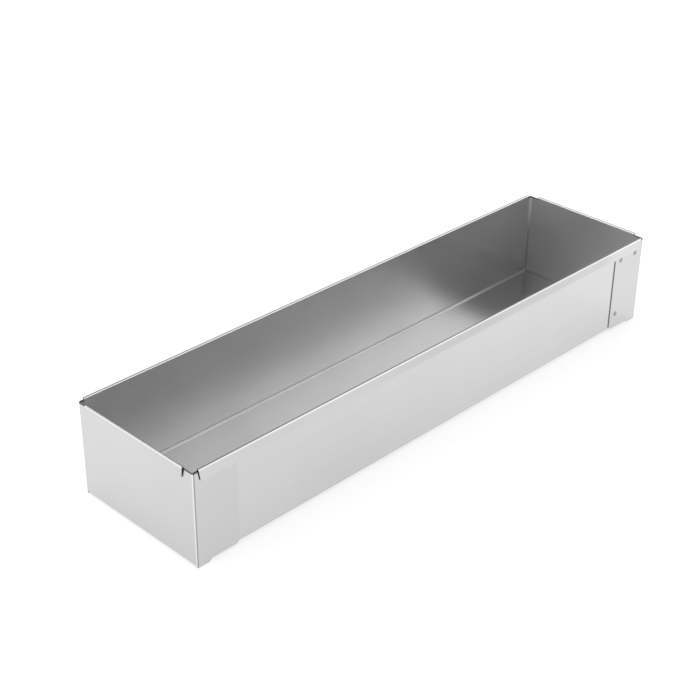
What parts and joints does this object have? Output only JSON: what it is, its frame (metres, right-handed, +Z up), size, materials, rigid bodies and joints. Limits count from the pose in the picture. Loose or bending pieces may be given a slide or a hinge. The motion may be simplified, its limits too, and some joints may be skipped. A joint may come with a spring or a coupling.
{
  "type": "rectangular cake mold",
  "caption": "Long open rectangular cake mold of folded satin sheet metal, with hemmed rims and lapped end caps that are riveted to the trough.",
  "frame": {"origin": "middle of the footprint, on the surface that the mold stands on", "axes": "+X along the length to the right as seen from the front, +Y from front to back, +Z up out of the open top"},
  "size_m": [0.403, 0.1, 0.063],
  "materials": {
    "trough_sheet": "satin",
    "end_cap_sheet": "satin",
    "left_rivets": "satin",
    "right_rivets": "dull"
  },
  "bodies": {
    "root": {"trough": "trough_sheet", "left_end_cap": "end_cap_sheet", "right_end_cap": "end_cap_sheet", "front_left_corner_rivet": "left_rivets", "front_left_upper_rivet": "left_rivets", "front_left_lower_rivet": "left_rivets", "front_right_corner_rivet": "right_rivets", "front_right_upper_rivet": "right_rivets", "front_right_lower_rivet": "right_rivets", "back_left_corner_rivet": "left_rivets", "back_left_upper_rivet": "left_rivets", "back_left_lower_rivet": "left_rivets", "back_right_corner_rivet": "right_rivets", "back_right_upper_rivet": "right_rivets", "back_right_lower_rivet": "right_rivets"}
  },
  "joints": []
}
